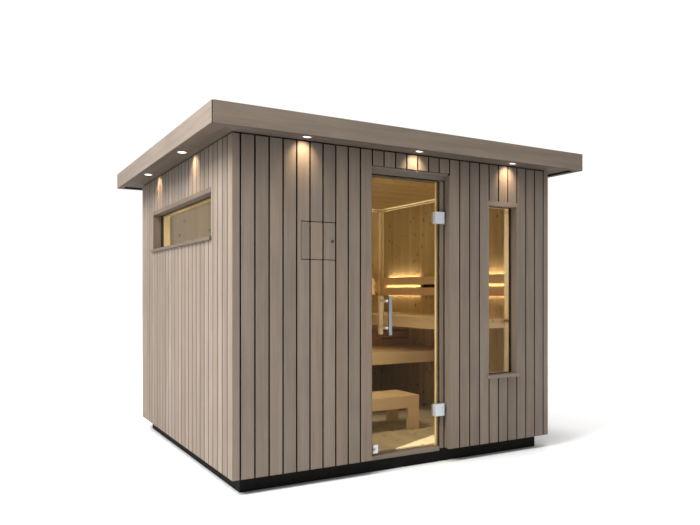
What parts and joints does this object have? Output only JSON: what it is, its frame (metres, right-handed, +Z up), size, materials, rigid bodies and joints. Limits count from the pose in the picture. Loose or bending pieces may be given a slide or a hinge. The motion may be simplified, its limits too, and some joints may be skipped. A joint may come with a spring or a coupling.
{
  "type": "outdoor sauna cabin",
  "caption": "Flat-roofed timber sauna cabin with vertical boards, a glass door, fixed windows, eave lights and benches inside.",
  "frame": {"origin": "on the ground at the middle of the cabin", "axes": "+X to the right along the front, +Y from the front to the rear, +Z up"},
  "size_m": [3.049, 2.798, 2.35],
  "materials": {
    "thermo_wood": "matt, heat treated boards",
    "black_timber": "matt black",
    "roof_membrane": "matt membrane",
    "spruce": "planed, untreated",
    "bench_wood": "planed, untreated",
    "dark_bench_wood": "matt, heat treated",
    "clear_glass": "clear, polished",
    "steel": "brushed",
    "white_trim": "satin white",
    "light_strip": "diffuser",
    "dark_metal": "satin"
  },
  "bodies": {
    "cabin": {"front_cladding": "thermo_wood", "rear_cladding": "thermo_wood", "left_cladding": "thermo_wood", "right_cladding": "thermo_wood", "fascia": "thermo_wood", "soffit": "thermo_wood", "front_window_surround": "thermo_wood", "left_window_surround": "thermo_wood", "door_frame": "thermo_wood", "door_threshold": "thermo_wood", "plinth": "black_timber", "front_wall_left": "black_timber", "front_wall_right": "black_timber", "front_wall_lintel": "black_timber", "rear_wall": "black_timber", "left_wall": "black_timber", "right_wall": "black_timber", "eaves_frame": "black_timber", "roof_deck": "roof_membrane", "front_lining": "spruce", "rear_lining": "spruce", "left_lining": "spruce", "right_lining": "spruce", "ceiling": "spruce", "cornice": "spruce", "floor": "spruce", "door_reveal": "spruce", "front_window_casing": "spruce", "left_window_casing": "spruce", "upper_bench": "bench_wood", "lower_bench": "bench_wood", "backrests": "bench_wood", "footstool": "bench_wood", "bench_skirt": "dark_bench_wood", "front_window_glass": "clear_glass", "left_window_glass": "clear_glass", "door_hinge_brackets": "steel", "eave_lights": "white_trim", "backrest_lights": "light_strip"},
    "door": {"door_glass": "clear_glass", "door_hinge_leaves": "steel", "door_handle": "steel", "door_grip": "bench_wood", "door_catch": "white_trim"},
    "hatch": {"hatch_door": "thermo_wood", "hatch_lock": "dark_metal"}
  },
  "joints": [
    {"name": "door_swing", "type": "hinge", "parent": "cabin", "child": "door", "pos_m": [0.3, -1.17, 1.098], "axis": [0, 0, 1], "range_deg": [0, 105]},
    {"name": "hatch_swing", "type": "hinge", "parent": "cabin", "child": "hatch", "pos_m": [-0.8665, -1.205, 1.585], "axis": [0, 0, -1], "range_deg": [0, 100]}
  ]
}
